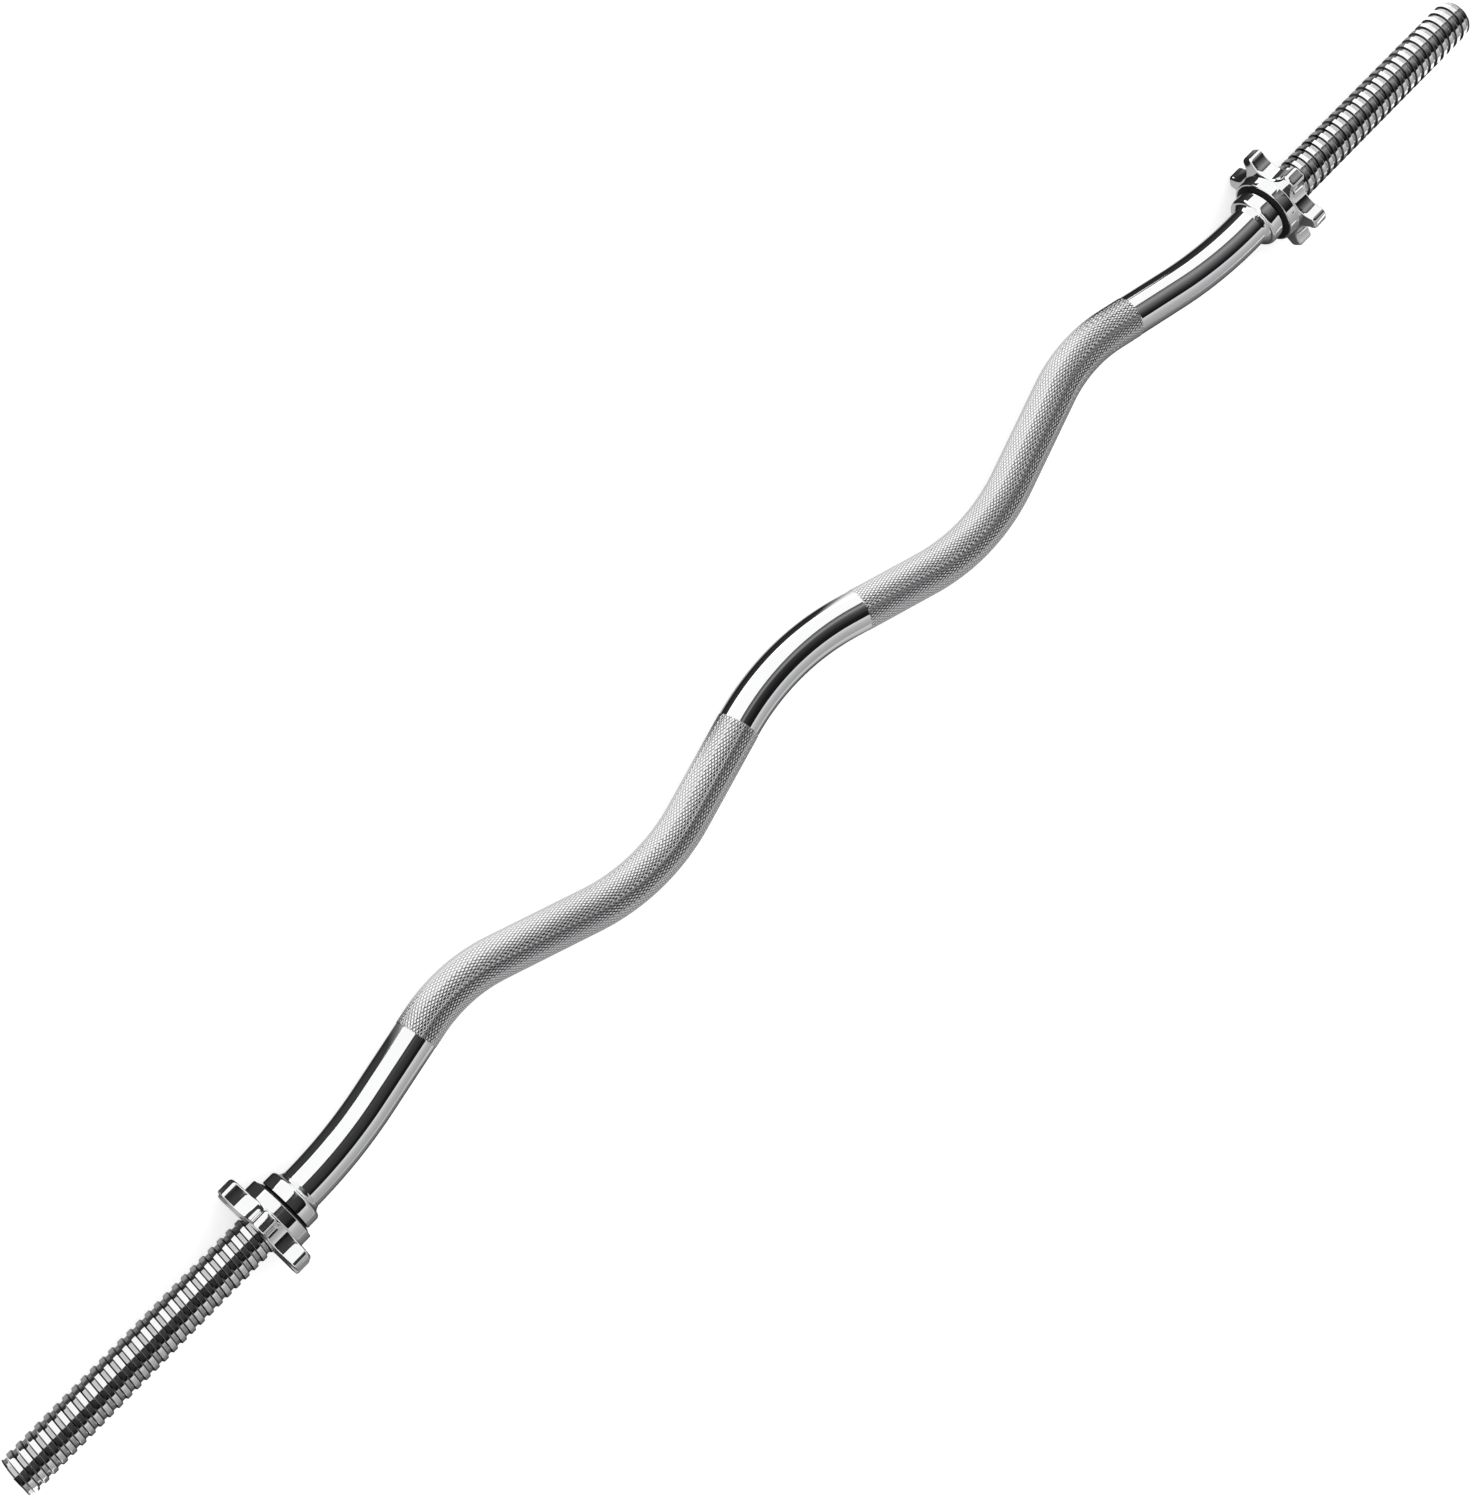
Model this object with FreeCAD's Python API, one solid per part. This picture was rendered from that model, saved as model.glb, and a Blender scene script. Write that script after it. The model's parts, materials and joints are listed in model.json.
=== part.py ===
import FreeCAD, Part
import os
from math import acos, ceil, cos, degrees, radians, sin, tan

# A solid steel curling bar with a shallow double bend. Each end is threaded and carries
# a welded inner collar, a six-armed star nut and the rubber ring that sits in the nut.
# The bar lies flat: X runs along both threaded ends, the bends lie in the XY plane and
# Z is up. The origin is below the middle of the bar, on the plane that the nuts rest on.
# Sizes are in millimetres and angles in degrees. The right end is made first. The left end
# is the same end, screwed a little way in along its thread and then turned half a turn
# about Z, which keeps the hand of the thread.

# Bar
bar_length = 1200.0
bar_radius = 12.5
straight_end = 206.5
outer_slope = 11.9
inner_slope = 19.0
middle_slope = 16.1
outer_bend_radius = 290.0
hump_bend_radius = 98.0
dip_bend_radius = 127.0
middle_bend_radius = 163.0
outer_leg_length = 49.5
inner_leg_length = 59.7

# Knurled grips, raised a little above the bar by the rolling of the knurl
grip_rise = 0.25
plain_middle_length = 99.1
middle_offset = 5.6
left_grip_length = 258.5
right_grip_length = 254.4

# Thread: thread_hand is 1 for a right-hand thread and -1 for a left-hand one
thread_hand = -1
thread_pitch = 6.5
thread_depth = 1.25
crest_width = 2.9
flank_angle = 30.0
groove_from_end = 1.2
groove_turns = 29
lead_length = 5.0
lead_drop = 1.0

# Inner collar, welded round the bar; the left one stands a little further in
collar_from_end = 198.0
left_collar_inset = 5.0
collar_width = 8.8
collar_radius = 17.0
collar_bore_gap = 0.1
shoulder_round = 2.3
collar_edge_break = 0.4

# Weld bead between the bar and the collar
weld_length = 3.2
weld_height = 2.2
weld_hollow = 0.3

# Star nut
flange_radius = 21.0
flange_width = 7.2
flange_edge_break = 0.5
star_thickness = 11.2
star_tip_radius = 33.0
star_arms = 6
star_tip_fall = 0.9
valley_radius = 13.1
valley_centre = 35.6
arm_corner_round = 3.0
arm_inner_round = 2.0
arm_outer_round = 1.2
thread_gap = 0.35
bore_mouth_break = 1.0

# Rubber ring, seated in a recess in the nut's flange
ring_radius = 19.6
ring_bore_radius = 13.5
ring_flat_radius = 14.6
ring_proud = 2.0
ring_crown_rise = 1.25
recess_depth = 3.0
recess_gap = 0.15
ring_seat_gap = 0.1

# How far a cutting shape runs past the surface that it cuts, and how near counts as on it
overrun = 0.6
nearness = 0.01

# Places that follow from the sizes
bar_end_x = bar_length / 2
collar_start_x = bar_end_x - collar_from_end
collar_face_x = collar_start_x + collar_width
ring_face_x = collar_face_x + ring_seat_gap
flange_rim_x = ring_face_x + ring_proud
recess_floor_x = flange_rim_x + recess_depth
star_inner_x = flange_rim_x + flange_width
star_outer_x = star_inner_x + star_thickness
grip_radius = bar_radius + grip_rise
root_radius = bar_radius - thread_depth
groove_start_x = bar_end_x - groove_from_end - groove_turns * thread_pitch

# How far the left end is turned as it is screwed in, by the right-hand rule about +X. The
# arms start half of what is left over, so that both nuts end up with their arms level.
arm_step = 360 / star_arms
left_screw_turn = -thread_hand * 360 * left_collar_inset / thread_pitch
star_turn = (-left_screw_turn % arm_step) / 2

# The nuts rest on the rounded corners of their arms, so the lowest corner sets the height
corner_reach = star_tip_radius - arm_corner_round
corner_from_valley = degrees(
    acos(
        (corner_reach**2 + valley_centre**2 - (valley_radius + arm_corner_round) ** 2)
        / (2 * corner_reach * valley_centre)
    )
)
corner_angles = [
    star_turn + (arm + 0.5) * arm_step + side * corner_from_valley
    for arm in range(star_arms)
    for side in (-1, 1)
]
lowest_corner = min(corner_reach * sin(radians(angle)) for angle in corner_angles)
axis_height = arm_corner_round - lowest_corner

AXIS_X = FreeCAD.Vector(1, 0, 0)
AXIS_Z = FreeCAD.Vector(0, 0, 1)


def on_axis(x):
    """The point at x on the line through both threaded ends."""
    return FreeCAD.Vector(x, 0, axis_height)


def bend_run(radius, slope_from, slope_to):
    """How far a bend reaches along X between two slopes on opposite sides of level."""
    return radius * (sin(radians(slope_from)) + sin(radians(slope_to)))


def flank_length():
    """The straight stretch each side of the middle bend, which takes up what is left."""
    bends = (
        bend_run(outer_bend_radius, outer_slope, 0)
        + bend_run(hump_bend_radius, inner_slope, outer_slope)
        + bend_run(dip_bend_radius, middle_slope, inner_slope)
        + bend_run(middle_bend_radius, middle_slope, 0)
    )
    legs = (
        outer_leg_length * cos(radians(outer_slope))
        + inner_leg_length * cos(radians(inner_slope))
    )
    return (bar_length / 2 - straight_end - bends - legs) / cos(radians(middle_slope))


def bar_route():
    """The centre line from left to right, as (length, turn, radius); turn is 0 if straight."""

    def bend(radius, turn):
        return (radius * radians(abs(turn)), turn, radius)

    side = [
        (straight_end, 0, None),
        bend(outer_bend_radius, outer_slope),
        (outer_leg_length, 0, None),
        bend(hump_bend_radius, -(outer_slope + inner_slope)),
        (inner_leg_length, 0, None),
        bend(dip_bend_radius, inner_slope + middle_slope),
        (flank_length(), 0, None),
    ]
    back = [(length, turn, radius) for length, turn, radius in reversed(side)]
    # A side read backwards turns the same way again, because the other half is its mirror
    return side + [bend(middle_bend_radius, -2 * middle_slope)] + back


def route_length():
    return sum(length for length, turn, radius in bar_route())


def rod(start, end, radius):
    """Solids of a round rod along the route, between two distances from the left end."""
    point = on_axis(-bar_end_x)
    heading = 0.0
    done = 0.0
    pieces = []
    for length, turn, bend_radius in bar_route():
        ahead = FreeCAD.Vector(cos(radians(heading)), sin(radians(heading)), 0)
        low = max(start - done, 0.0)
        high = min(end - done, length)
        if turn == 0:
            if high > low:
                base = point + ahead * low
                pieces.append(Part.makeCylinder(radius, high - low, base, ahead))
            point = point + ahead * length
        else:
            side = 1 if turn > 0 else -1
            left = FreeCAD.Vector(-ahead.y, ahead.x, 0)
            centre = point + left * (side * bend_radius)
            if high > low:
                section = Part.Face(Part.Wire(Part.makeCircle(radius, point, ahead)))
                section.rotate(centre, AXIS_Z, turn * low / length)
                pieces.append(section.revolve(centre, AXIS_Z, turn * (high - low) / length))
            spin = FreeCAD.Rotation(AXIS_Z, turn)
            point = centre + spin.multVec(point - centre)
            heading += turn
        done += length
    return pieces


def revolved(profile):
    """A solid turned about the thread axis from (x, radius) points and arcs."""
    edges = []
    here = profile[0]
    for step in profile[1:] + [profile[0]]:
        if len(step) == 3:
            middle, target = step[1], step[2]
            edges.append(Part.Arc(*[spoke(p) for p in (here, middle, target)]).toShape())
            here = target
        else:
            edges.append(Part.makeLine(spoke(here), spoke(step)))
            here = step
    face = Part.Face(Part.Wire(edges))
    return face.revolve(on_axis(0), AXIS_X, 360)


def spoke(point):
    """A point at (x, radius), straight out from the thread axis toward +Y."""
    x, radius = point
    return FreeCAD.Vector(x, radius, axis_height)


def helix(radius, turns):
    """A helix on Z, one edge to a turn, from the +X side of the axis."""
    edges = []
    for turn in range(turns):
        one_turn = Part.makeHelix(thread_pitch, thread_pitch, radius)
        one_turn.translate(FreeCAD.Vector(0, 0, turn * thread_pitch))
        edges += one_turn.Edges
    return Part.Wire(edges)


def screw_cutter(narrow_radius, wide_radius, narrow_width, start_x, turns):
    """A helical cutter with sloping flanks, which starts on the +Y side of the axis."""
    slope = tan(radians(flank_angle))
    wide_width = narrow_width + 2 * abs(narrow_radius - wide_radius) * slope
    corners = [
        FreeCAD.Vector(narrow_radius, 0, -narrow_width / 2),
        FreeCAD.Vector(wide_radius, 0, -wide_width / 2),
        FreeCAD.Vector(wide_radius, 0, wide_width / 2),
        FreeCAD.Vector(narrow_radius, 0, narrow_width / 2),
    ]
    section = Part.makePolygon(corners + corners[:1])
    cutter = helix(narrow_radius, turns).makePipeShell([section], True, True)
    if thread_hand < 0:
        cutter = cutter.mirror(FreeCAD.Vector(0, 0, 0), FreeCAD.Vector(0, 1, 0))
    # The helix is wound on Z from +X, so X, Y and Z are passed on to Y, Z and X
    cutter.rotate(FreeCAD.Vector(0, 0, 0), FreeCAD.Vector(1, 1, 1), 120)
    cutter.translate(on_axis(start_x))
    return cutter


def screwed_in(shape):
    """The shape moved toward the middle along the thread, which stays where it was."""
    moved = shape.copy()
    moved.translate(FreeCAD.Vector(-left_collar_inset, 0, 0))
    moved.rotate(on_axis(0), AXIS_X, left_screw_turn)
    return moved


def make_groove():
    """The cutter for the bar's groove, which runs out past the end of the bar."""
    crest_gap = thread_pitch - crest_width
    bottom_width = crest_gap - 2 * thread_depth * tan(radians(flank_angle))
    turns = groove_turns + 1 + ceil(left_collar_inset / thread_pitch)
    return screw_cutter(
        root_radius,
        bar_radius + overrun,
        bottom_width,
        groove_start_x,
        turns,
    )


def threaded_end(groove):
    """The straight right end with its groove and the tapered lead at its tip."""
    start_x = bar_end_x - straight_end
    lead_x = bar_end_x - lead_length
    end = revolved(
        [
            (start_x, 0),
            (start_x, bar_radius),
            (lead_x, bar_radius),
            (bar_end_x, bar_radius - lead_drop),
            (bar_end_x, 0),
        ]
    )
    return end.cut(groove)


def make_bar():
    """One rod: plain and threaded ends, bends, and the slightly thicker knurled grips."""
    total = route_length()
    middle = total / 2 + middle_offset
    left_inner = middle - plain_middle_length / 2
    right_inner = middle + plain_middle_length / 2
    left_outer = left_inner - left_grip_length
    right_outer = right_inner + right_grip_length
    groove = make_groove()
    right_end = threaded_end(groove)
    left_end = opposite(threaded_end(screwed_in(groove)))
    pieces = [right_end, left_end]
    pieces += rod(straight_end, left_outer, bar_radius)
    pieces += rod(left_outer, left_inner, grip_radius)
    pieces += rod(left_inner, right_inner, bar_radius)
    pieces += rod(right_inner, right_outer, grip_radius)
    pieces += rod(right_outer, total - straight_end, bar_radius)
    return pieces[0].multiFuse(pieces[1:])


def make_collar():
    bore = bar_radius + collar_bore_gap
    shoulder_x = collar_start_x + shoulder_round
    rounding = shoulder_round * (1 - cos(radians(45)))
    foot = collar_radius - shoulder_round
    return revolved(
        [
            (collar_start_x, bore),
            (collar_start_x, foot),
            ("arc", (collar_start_x + rounding, collar_radius - rounding), (shoulder_x, collar_radius)),
            (collar_face_x - collar_edge_break, collar_radius),
            (collar_face_x, collar_radius - collar_edge_break),
            (collar_face_x, bore),
        ]
    )


def make_weld():
    toe = (collar_start_x - weld_length, bar_radius)
    top = (collar_start_x, bar_radius + weld_height)
    hollow = (
        collar_start_x - weld_hollow * weld_length,
        bar_radius + weld_hollow * weld_height,
    )
    return revolved([(collar_start_x, bar_radius), toe, ("arc", hollow, top)])


def arm_blank():
    """A thick disc whose inner face falls away a little toward the tips of the arms."""
    return revolved(
        [
            (star_inner_x, 0),
            (star_inner_x, flange_radius),
            (star_inner_x + star_tip_fall, star_tip_radius),
            (star_outer_x, star_tip_radius),
            (star_outer_x, 0),
        ]
    )


def make_star():
    """The six arms: a disc with round valleys, rounded tips and softened edges."""
    star = arm_blank()
    for arm in range(star_arms):
        angle = radians((arm + 0.5) * arm_step)
        centre = FreeCAD.Vector(
            star_inner_x - overrun,
            valley_centre * cos(angle),
            axis_height + valley_centre * sin(angle),
        )
        length = star_thickness + 2 * overrun
        star = star.cut(Part.makeCylinder(valley_radius, length, centre, AXIS_X))
    star = star.makeFillet(arm_corner_round, [e for e in star.Edges if is_tip_corner(e)])
    star = star.makeFillet(arm_outer_round, [e for e in star.Edges if is_outer_outline(e)])
    star = star.makeFillet(arm_inner_round, [e for e in star.Edges if is_inner_outline(e)])
    star.rotate(on_axis(0), AXIS_X, star_turn)
    return star


def is_tip_corner(edge):
    """True for the straight sharp corners between a tip and a valley."""
    box = edge.BoundBox
    return box.YLength < nearness and box.ZLength < nearness


def is_outer_outline(edge):
    """True for the edges round the arms on the side away from the bar."""
    return edge.BoundBox.XMin > star_outer_x - nearness


def is_inner_outline(edge):
    """True for the edges round the arms on the side that faces the bar."""
    start = edge.valueAt(edge.FirstParameter)
    outside_flange = start.distanceToPoint(on_axis(start.x)) > flange_radius + nearness
    return edge.BoundBox.XMax < star_inner_x + star_tip_fall + nearness and outside_flange


def make_flange():
    """The round flange, with a broken edge, let a little way into the arms."""
    return revolved(
        [
            (flange_rim_x, 0),
            (flange_rim_x, flange_radius - flange_edge_break),
            (flange_rim_x + flange_edge_break, flange_radius),
            (star_inner_x + overrun, flange_radius),
            (star_inner_x + overrun, 0),
        ]
    )


def round_cut(radius, x_from, x_to):
    return Part.makeCylinder(radius, x_to - x_from, on_axis(x_from), AXIS_X)


def mouth_cut(radius):
    """The chamfer where the bore opens on the nut's outer face."""
    depth = bore_mouth_break + overrun
    small = radius - overrun
    return Part.makeCone(small, small + 2 * depth, 2 * depth, on_axis(star_outer_x - depth), AXIS_X)


def nut_thread_cut(minor_radius, major_radius):
    """The nut's groove, which follows the bar's ridge with a gap all round."""
    slope = radians(flank_angle)
    groove_width = crest_width - 2 * thread_gap * tan(slope) + 2 * thread_gap / cos(slope)
    ridge_x = groove_start_x + thread_pitch / 2
    # It starts a whole number of turns back, before the recess, and ends past the outer face
    start_x = ridge_x - ceil((ridge_x - recess_floor_x) / thread_pitch + 1) * thread_pitch
    turns = ceil((star_outer_x - start_x) / thread_pitch) + 1
    return screw_cutter(major_radius, minor_radius - overrun, groove_width, start_x, turns)


def make_star_nut():
    """Arms and flange in one casting, with the ring's recess and an internal thread."""
    minor_radius = root_radius + thread_gap
    major_radius = bar_radius + thread_gap
    cuts = [
        round_cut(ring_radius + recess_gap, flange_rim_x - overrun, recess_floor_x),
        round_cut(minor_radius, flange_rim_x - overrun, star_outer_x + overrun),
        mouth_cut(major_radius),
        nut_thread_cut(minor_radius, major_radius),
    ]
    nut = make_star().fuse(make_flange())
    for cut in cuts:
        nut = nut.cut(cut)
    return nut


def make_ring():
    """The rubber ring, whose face rises from the flange's lip to a narrow flat at its bore."""
    crown = (
        flange_rim_x - ring_crown_rise,
        (ring_radius + ring_flat_radius) / 2,
    )
    return revolved(
        [
            (recess_floor_x, ring_bore_radius),
            (recess_floor_x, ring_radius),
            (flange_rim_x, ring_radius),
            ("arc", crown, (ring_face_x, ring_flat_radius)),
            (ring_face_x, ring_bore_radius),
        ]
    )


def opposite(shape):
    """The same shape at the left end, half a turn round."""
    turned = shape.copy()
    turned.rotate(FreeCAD.Vector(0, 0, 0), AXIS_Z, 180)
    return turned


def main():
    os.makedirs("parts", exist_ok=True)
    nodes = {"bar": make_bar()}
    end_pieces = {
        "inner_collar": make_collar(),
        "collar_weld": make_weld(),
        "star_nut": make_star_nut(),
        "rubber_ring": make_ring(),
    }
    for name, shape in end_pieces.items():
        nodes["right_" + name] = shape
        nodes["left_" + name] = opposite(screwed_in(shape))
    for name, shape in nodes.items():
        solids = shape.Solids
        kept = solids[0] if len(solids) == 1 else shape
        kept.exportStep("parts/" + name + ".step")
        print(name, "solids", len(solids), "valid", kept.isValid(), "volume", round(kept.Volume, 1))


main()
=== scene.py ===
import json
from math import ceil, cos, pi, radians, sin, tan

import bmesh
import bpy
import numpy as np
from mathutils import Matrix, Vector


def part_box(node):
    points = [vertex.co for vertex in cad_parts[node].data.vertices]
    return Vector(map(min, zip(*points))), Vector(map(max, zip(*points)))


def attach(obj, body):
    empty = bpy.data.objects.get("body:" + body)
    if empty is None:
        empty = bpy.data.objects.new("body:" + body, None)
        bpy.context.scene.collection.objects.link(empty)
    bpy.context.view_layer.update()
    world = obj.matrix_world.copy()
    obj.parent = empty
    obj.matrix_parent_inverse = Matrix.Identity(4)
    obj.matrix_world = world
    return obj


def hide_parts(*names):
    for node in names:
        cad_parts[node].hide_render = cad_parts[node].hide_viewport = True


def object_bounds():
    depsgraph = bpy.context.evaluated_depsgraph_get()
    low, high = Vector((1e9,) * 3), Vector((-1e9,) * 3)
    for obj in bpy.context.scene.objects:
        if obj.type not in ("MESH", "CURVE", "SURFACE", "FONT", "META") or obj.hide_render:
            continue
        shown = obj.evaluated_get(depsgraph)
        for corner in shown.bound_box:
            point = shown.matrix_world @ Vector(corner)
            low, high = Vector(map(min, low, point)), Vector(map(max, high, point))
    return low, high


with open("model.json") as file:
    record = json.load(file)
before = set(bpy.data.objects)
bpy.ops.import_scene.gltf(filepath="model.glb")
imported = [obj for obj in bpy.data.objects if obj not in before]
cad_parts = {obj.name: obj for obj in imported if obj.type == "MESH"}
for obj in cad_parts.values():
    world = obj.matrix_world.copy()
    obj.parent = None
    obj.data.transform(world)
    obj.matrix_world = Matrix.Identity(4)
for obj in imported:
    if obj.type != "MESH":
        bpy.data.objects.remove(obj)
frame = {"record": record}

# A chromed steel curling bar on a pale floor. X runs along both threaded ends, the bends
# lie flat in the XY plane and Z is up. Lengths are in metres, and mm stands for one
# millimetre. The right end's pieces are made first. The left end's are the same pieces,
# screwed a little way in along the thread and then turned half a turn about Z.

mm = 0.001
cad_low, cad_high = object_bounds()


def box_x(node):
    """Where a CAD node starts and ends along X."""
    low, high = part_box(node)
    return low.x, high.x


def axis_height_from_mounts():
    """The height of the thread's axis, which the mount on the bar's right end gives."""
    for mount in frame["record"]["mounts"]:
        if mount["name"] == "right_end_face":
            return mount["pos_m"][2]
    raise ValueError("the record has no mount on the right end face")


# Places from the frame
bar_end_x = cad_high.x
axis_height = axis_height_from_mounts()
collar_start_x, collar_face_x = box_x("right_inner_collar")
ring_face_x, recess_floor_x = box_x("right_rubber_ring")
flange_rim_x, star_outer_x = box_x("right_star_nut")
left_inset = collar_start_x + box_x("left_inner_collar")[1]

# Bar
bar_radius = 12.5 * mm
straight_end = 206.5 * mm
outer_slope = radians(11.9)
inner_slope = radians(19.0)
middle_slope = radians(16.1)
outer_bend_radius = 290 * mm
hump_bend_radius = 98 * mm
dip_bend_radius = 127 * mm
middle_bend_radius = 163 * mm
outer_leg_length = 49.5 * mm
inner_leg_length = 59.7 * mm

# Knurled grips: knurl_starts grooves of each hand, knurl_lean degrees off the bar's length
grip_rise = 0.25 * mm
plain_middle_length = 99.1 * mm
middle_offset = 5.6 * mm
left_grip_length = 258.5 * mm
right_grip_length = 254.4 * mm
knurl_starts = 40
knurl_lean = radians(30)
knurl_depth = 0.19 * mm
knurl_shoulder = 0.85
knurl_fade = 0.9 * mm
# Painted shade in the knurl's grooves: how far the colour is darkened, and how far from a groove the
# darkening reaches
knurl_groove_shade = 0.7
knurl_shade_edge = 0.25

# Thread
thread_hand = -1
thread_pitch = 6.5 * mm
thread_depth = 1.25 * mm
crest_width = 2.9 * mm
flank_angle = radians(30)
thread_edge_round = 0.35 * mm
thread_root_round = 0.35 * mm
groove_from_end = 1.2 * mm
groove_turns = 29
groove_fade_from = -0.3
groove_fade_to = 0.05
lead_length = 5.0 * mm
lead_drop = 1.0 * mm
end_chamfer = 0.7 * mm
# Painted shade in the thread's grooves: how dark the walls and the floor are painted, and how softly
# it fades at their edges
groove_wall_shade = 0.93
groove_root_shade = 0.4
shade_blur = 0.1 * mm

# Inner collar and its weld
collar_radius = 17.0 * mm
collar_bore_gap = 0.1 * mm
shoulder_round = 2.3 * mm
collar_edge_round = 0.5 * mm
weld_length = 3.2 * mm
weld_height = 2.2 * mm
weld_sag = 0.35
weld_ripple = 0.06 * mm
weld_ripples = 34

# Star nut
flange_radius = 21.0 * mm
flange_width = 7.2 * mm
flange_edge_round = 0.55 * mm
flange_root_round = 0.75 * mm
star_tip_radius = 33.0 * mm
star_arms = 6
star_tip_fall = 0.9 * mm
valley_radius = 13.1 * mm
valley_centre = 35.6 * mm
arm_corner_round = 3.0 * mm
arm_inner_round = 2.0 * mm
arm_least_round = 0.2 * mm
arm_outer_round = 1.2 * mm
thread_gap = 0.35 * mm
bore_mouth_break = 1.0 * mm

# Rubber ring in the nut's recess
ring_radius = 19.6 * mm
ring_bore_radius = 13.5 * mm
ring_flat_radius = 14.6 * mm
ring_crown_rise = 1.25 * mm
recess_gap = 0.15 * mm

# How finely the surfaces are divided
round_columns = 144
thread_columns = 120
knurl_parts = 4
plain_step = 2.0 * mm
thread_step = 0.42 * mm
bore_step = 0.35 * mm
card_step = 10 * mm
arc_steps = 6
tip_steps = 6
corner_steps = 10
valley_steps = 30
face_shares = (0.35, 0.7)
weld_steps = 12
crown_steps = 14
merge_distance = 0.001 * mm

# An edge shows as sharp where its faces turn by more than this
turned_edge = radians(40)
thread_edge = radians(42)
nut_edge = radians(35)
ring_edge = radians(50)
weld_edge = radians(60)

# What follows from the sizes
grip_radius = bar_radius + grip_rise
root_radius = bar_radius - thread_depth
groove_mouth = (thread_pitch - crest_width) / 2
groove_floor = groove_mouth - thread_depth * tan(flank_angle)
groove_start_x = bar_end_x - groove_from_end - groove_turns * thread_pitch
thread_start_x = (collar_start_x + collar_face_x) / 2
star_inner_x = flange_rim_x + flange_width

# The turn of the left end as it is screwed in, and the turn that levels both nuts' arms
arm_step = 2 * pi / star_arms
left_screw_turn = -thread_hand * 2 * pi * left_inset / thread_pitch
star_turn = (-left_screw_turn % arm_step) / 2


# The bar's centre line


def bend_run(radius, slope_from, slope_to):
    """How far a bend reaches along X between two slopes on opposite sides of level."""
    return radius * (sin(slope_from) + sin(slope_to))


def bar_stretches():
    """The bar's centre line from left to right, as (length, turn) with left turns positive."""
    bends = (
        bend_run(outer_bend_radius, outer_slope, 0)
        + bend_run(hump_bend_radius, inner_slope, outer_slope)
        + bend_run(dip_bend_radius, middle_slope, inner_slope)
        + bend_run(middle_bend_radius, middle_slope, 0)
    )
    legs = outer_leg_length * cos(outer_slope) + inner_leg_length * cos(inner_slope)
    flank = (bar_end_x - straight_end - bends - legs) / cos(middle_slope)
    side = [
        (straight_end, 0),
        (outer_bend_radius * outer_slope, outer_slope),
        (outer_leg_length, 0),
        (hump_bend_radius * (outer_slope + inner_slope), -outer_slope - inner_slope),
        (inner_leg_length, 0),
        (dip_bend_radius * (inner_slope + middle_slope), inner_slope + middle_slope),
        (flank, 0),
    ]
    return side + [(middle_bend_radius * 2 * middle_slope, -2 * middle_slope)] + side[::-1]


def bar_places():
    """How far along the centre line, from the bar's left end, its stretches start and end."""
    total = sum(length for length, turn in bar_stretches())
    middle = total / 2 + middle_offset
    left_inner = middle - plain_middle_length / 2
    right_inner = middle + plain_middle_length / 2
    thread_run = bar_end_x - thread_start_x
    return {
        "left_thread_end": thread_run + left_inset,
        "left_grip_start": left_inner - left_grip_length,
        "left_grip_end": left_inner,
        "right_grip_start": right_inner,
        "right_grip_end": right_inner + right_grip_length,
        "right_thread_start": total - thread_run,
        "right_end": total,
    }


def route_frames(distances):
    """Points (x, y) on the centre line and headings, at distances from the left end."""
    starts = []
    x, y, heading, done = -bar_end_x, 0.0, 0.0, 0.0
    for length, turn in bar_stretches():
        bend = turn / length
        starts.append((done, x, y, heading, bend))
        if turn:
            x += (sin(heading + turn) - sin(heading)) / bend
            y -= (cos(heading + turn) - cos(heading)) / bend
        else:
            x += length * cos(heading)
            y += length * sin(heading)
        heading += turn
        done += length
    table = np.array(starts)
    which = np.clip(np.searchsorted(table[:, 0], distances, side="right") - 1, 0, None)
    done, x, y, heading, bend = table[which].T
    run = distances - done
    ahead = heading + bend * run
    straight = bend == 0
    safe = np.where(straight, 1.0, bend)
    x = x + np.where(straight, run * np.cos(heading), (np.sin(ahead) - np.sin(heading)) / safe)
    y = y + np.where(straight, run * np.sin(heading), (np.cos(heading) - np.cos(ahead)) / safe)
    return x, y, ahead


# Points, faces and meshes


def column_angles(columns):
    """Angles round an axis, from the bar's left side up over its top."""
    return np.arange(columns) * 2 * pi / columns


def rows_along_bar(distances, radii):
    """Points round the bar at each distance. radii has a row for each distance."""
    x, y, heading = route_frames(distances)
    angle = column_angles(radii.shape[1])
    out = radii * np.cos(angle)
    rise = radii * np.sin(angle)
    return np.stack(
        [
            x[:, None] - out * np.sin(heading)[:, None],
            y[:, None] + out * np.cos(heading)[:, None],
            axis_height + rise,
        ],
        axis=2,
    )


def round_the_axis(x, radii, angle):
    """Points at places along the thread's axis, at their radii and angles round it."""
    x, radii, angle = np.broadcast_arrays(x, radii, angle)
    return np.stack([x, radii * np.cos(angle), axis_height + radii * np.sin(angle)], axis=2)


def rounded(corners, steps=arc_steps):
    """A closed outline from (x, radius, rounding) corners, with arcs at its corners."""
    points = []
    count = len(corners)
    for i, (x, r, rounding) in enumerate(corners):
        here = Vector((x, r))
        if not rounding:
            points.append(tuple(here))
            continue
        back = (Vector(corners[i - 1][:2]) - here).normalized()
        on = (Vector(corners[(i + 1) % count][:2]) - here).normalized()
        half = back.angle(on) / 2
        centre = here + (back + on).normalized() * (rounding / sin(half))
        start = here + back * (rounding / tan(half)) - centre
        end = here + on * (rounding / tan(half)) - centre
        sweep = start.angle_signed(end)
        for step in range(steps + 1):
            turn = Matrix.Rotation(-sweep * step / steps, 2)
            points.append(tuple(centre + turn @ start))
    return points


def spaced(start, end, step):
    """Distances from start to end, evenly spaced and at most step apart."""
    slack = 1e-6
    return np.linspace(start, end, ceil((end - start) / step - slack) + 1)


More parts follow.
